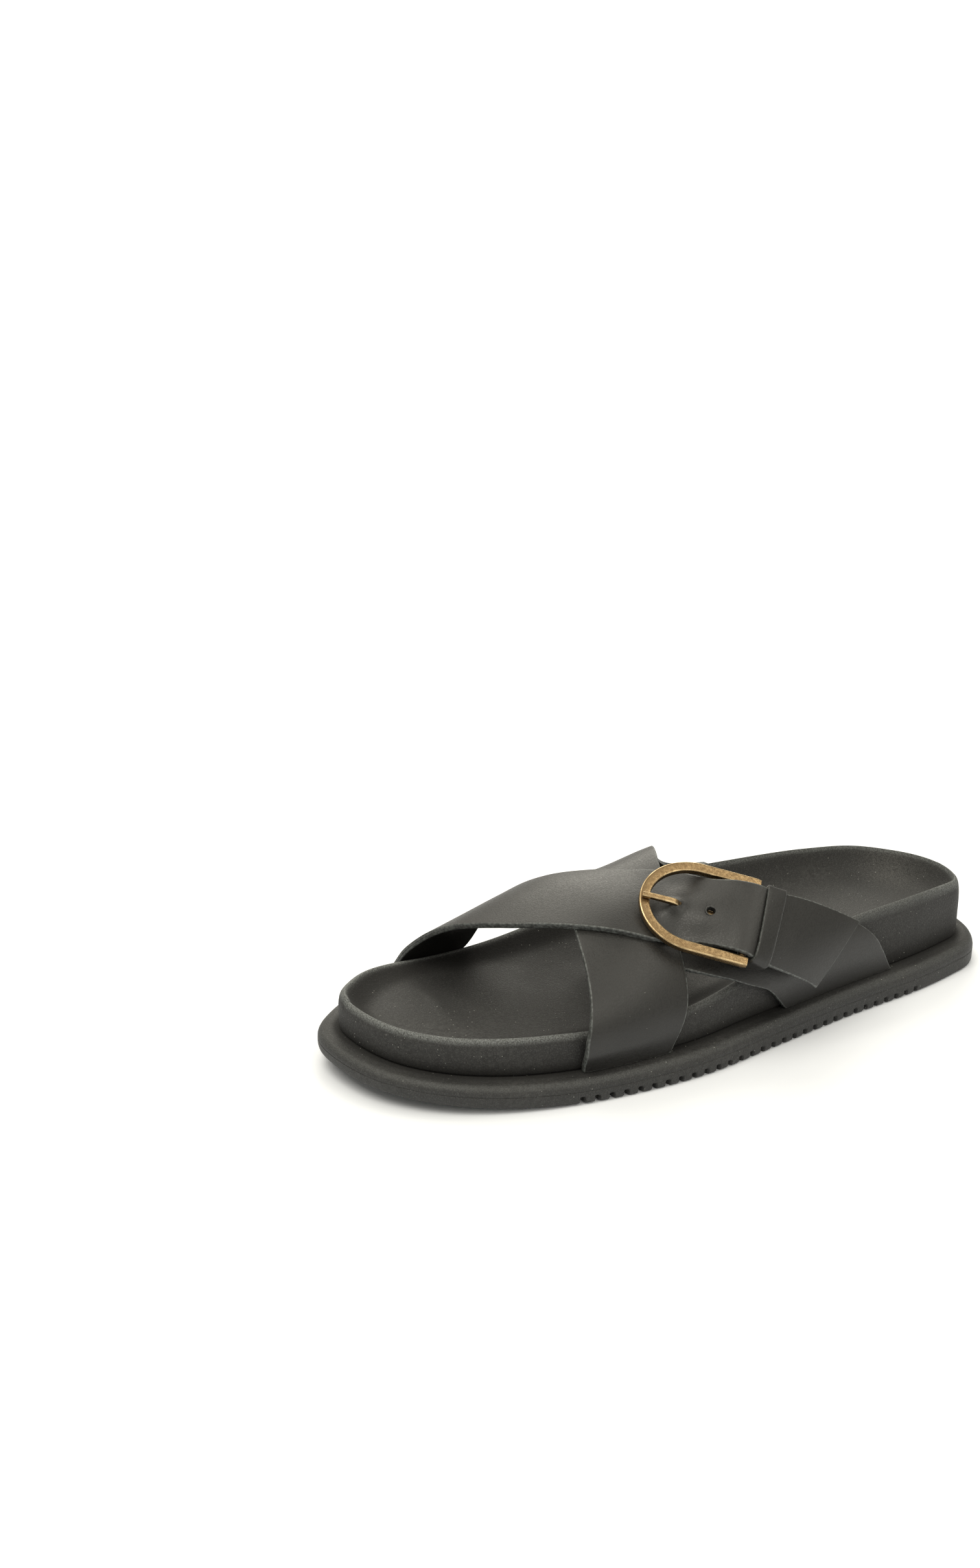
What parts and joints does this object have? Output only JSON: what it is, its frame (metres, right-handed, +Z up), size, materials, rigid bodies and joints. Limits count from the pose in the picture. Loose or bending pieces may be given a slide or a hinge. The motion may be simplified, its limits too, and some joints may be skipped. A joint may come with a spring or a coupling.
{
  "type": "slide sandal",
  "caption": "Left slide sandal: crossed leather straps with a horseshoe buckle on the outer side, over a dished footbed on a notched rubber sole.",
  "frame": {"origin": "middle of the bounding box in plan, at the floor under the sole", "axes": "+Y towards the heel, so the toe points along -Y; +X towards the shoe's outer side, where the buckle is; +Z up"},
  "size_m": [0.1084, 0.2708, 0.0655],
  "materials": {
    "sole_rubber": "matte moulded",
    "footbed_rubber": "matte, finely granular",
    "strap_leather": "satin, fine grain",
    "buckle_strap_leather": "satin, fine grain",
    "buckle_metal": "antique, lightly worn",
    "bar_metal": "antique",
    "prong_metal": "antique, lightly worn",
    "keeper_leather": "satin, fine grain"
  },
  "bodies": {
    "root": {"outsole": "sole_rubber", "footbed": "footbed_rubber", "upper": "strap_leather", "buckle_strap": "buckle_strap_leather", "buckle_frame": "buckle_metal", "buckle_bar": "bar_metal", "buckle_prong": "prong_metal", "keeper": "keeper_leather"}
  },
  "joints": []
}
